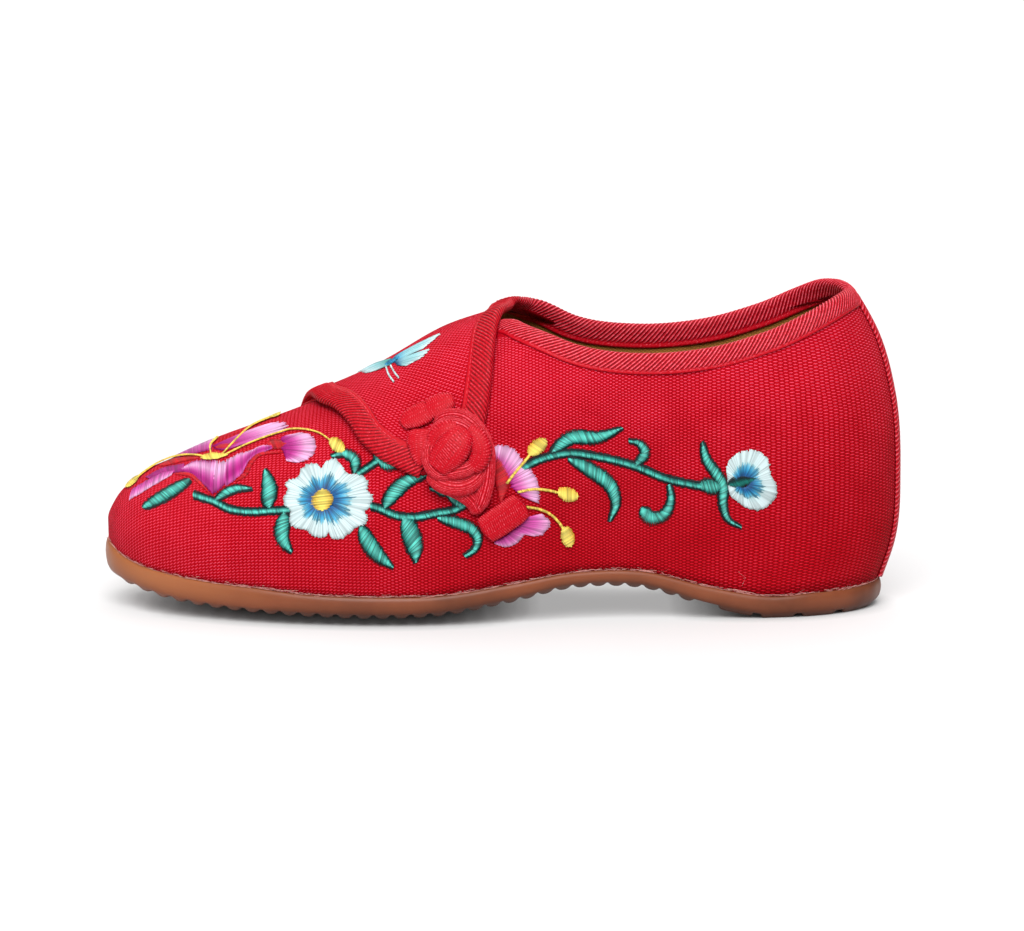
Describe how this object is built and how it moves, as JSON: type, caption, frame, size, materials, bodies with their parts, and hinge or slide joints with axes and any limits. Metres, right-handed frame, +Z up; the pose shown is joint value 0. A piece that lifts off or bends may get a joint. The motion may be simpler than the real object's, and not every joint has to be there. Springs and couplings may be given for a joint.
{
  "type": "canvas flat shoe",
  "caption": "Low cloth shoe with a wrap-over flap, bound collar, knotted frog fastener, raised footbed inside and a ribbed rubber sole with an arched waist.",
  "frame": {"origin": "centre of the shoe's footprint box, on the floor", "axes": "toe towards -X, heel towards +X, outer side of the foot at -Y, +Z up"},
  "size_m": [0.2456, 0.0933, 0.0989],
  "materials": {
    "red_canvas": "plain-weave cotton canvas with silk embroidery",
    "red_tape": "ribbed twill tape with a slight sheen",
    "gum_rubber": "moulded gum rubber, satin",
    "tan_lining": "tan cotton lining over a foam footbed"
  },
  "bodies": {
    "root": {"outsole": "gum_rubber", "insole": "tan_lining", "upper": "red_canvas", "flap": "red_canvas", "collar_binding": "red_tape", "flap_front_binding": "red_tape", "flap_rear_binding": "red_tape", "back_stay": "red_tape", "frog_tab_upper": "red_tape", "frog_tab_lower": "red_tape", "frog_loop": "red_tape", "frog_pad": "red_tape", "frog_knot": "red_tape"}
  },
  "joints": []
}
